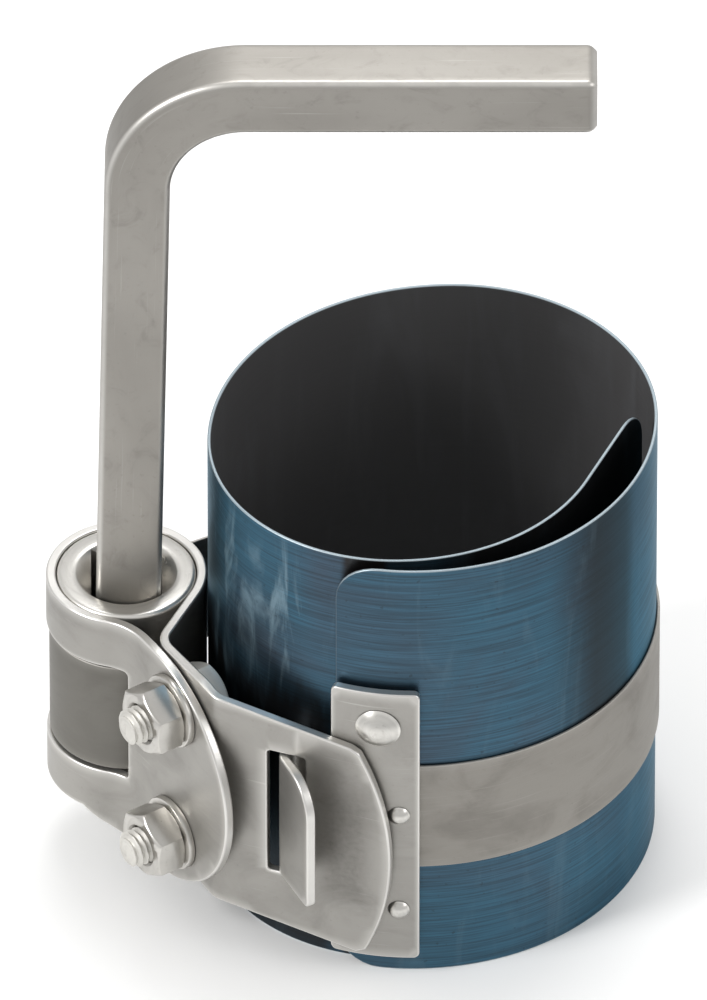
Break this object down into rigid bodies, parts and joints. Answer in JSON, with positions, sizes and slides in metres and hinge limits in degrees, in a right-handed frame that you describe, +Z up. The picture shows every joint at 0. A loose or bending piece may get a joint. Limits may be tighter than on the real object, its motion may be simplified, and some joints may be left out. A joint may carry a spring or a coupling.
{
  "type": "piston ring compressor",
  "caption": "Hand tool: a rolled blued-steel sleeve with a tension band that a square key winds onto a spindle in a folded strap housing, to squeeze piston rings for fitting.",
  "frame": {"origin": "on the sleeve's axis at its bottom rim", "axes": "+Z up along the sleeve's axis, towards the key's arm; +X towards the sleeve from the spindle; +Y away from the front of the picture"},
  "size_m": [0.0946, 0.0775, 0.152],
  "materials": {
    "blued_steel": "heat-blued spring steel, finely brushed, smeared with oil",
    "band_steel": "matte rolled spring steel",
    "bright_steel": "turned bright steel",
    "nickel_sheet": "satin nickelled sheet with a slightly uneven pressed surface",
    "zinc_fastener": "bright zinc",
    "key_steel": "satin drawn bar with softened edges"
  },
  "bodies": {
    "wrap": {"sleeve": "blued_steel", "tension_band": "band_steel", "housing_strap": "nickel_sheet", "foot_plate": "nickel_sheet", "top_rivet": "bright_steel", "band_rivet": "bright_steel", "low_rivet": "bright_steel", "upper_bolt": "zinc_fastener", "lower_bolt": "zinc_fastener", "upper_washer": "zinc_fastener", "lower_washer": "zinc_fastener", "upper_nut": "zinc_fastener", "lower_nut": "zinc_fastener"},
    "winder": {"spindle": "bright_steel", "wound_band": "band_steel", "spindle_rivet": "bright_steel"},
    "square_key": {"key": "key_steel"}
  },
  "joints": [
    {"name": "spindle_turn", "type": "hinge", "parent": "wrap", "child": "winder", "pos_m": [-0.0471, 0, 0.032], "axis": [0, 0, 1], "range_deg": [-360, 180]},
    {"name": "key_lift", "type": "slide", "parent": "winder", "child": "square_key", "axis": [0, 0, 1], "range_m": [0, 0.045]}
  ]
}
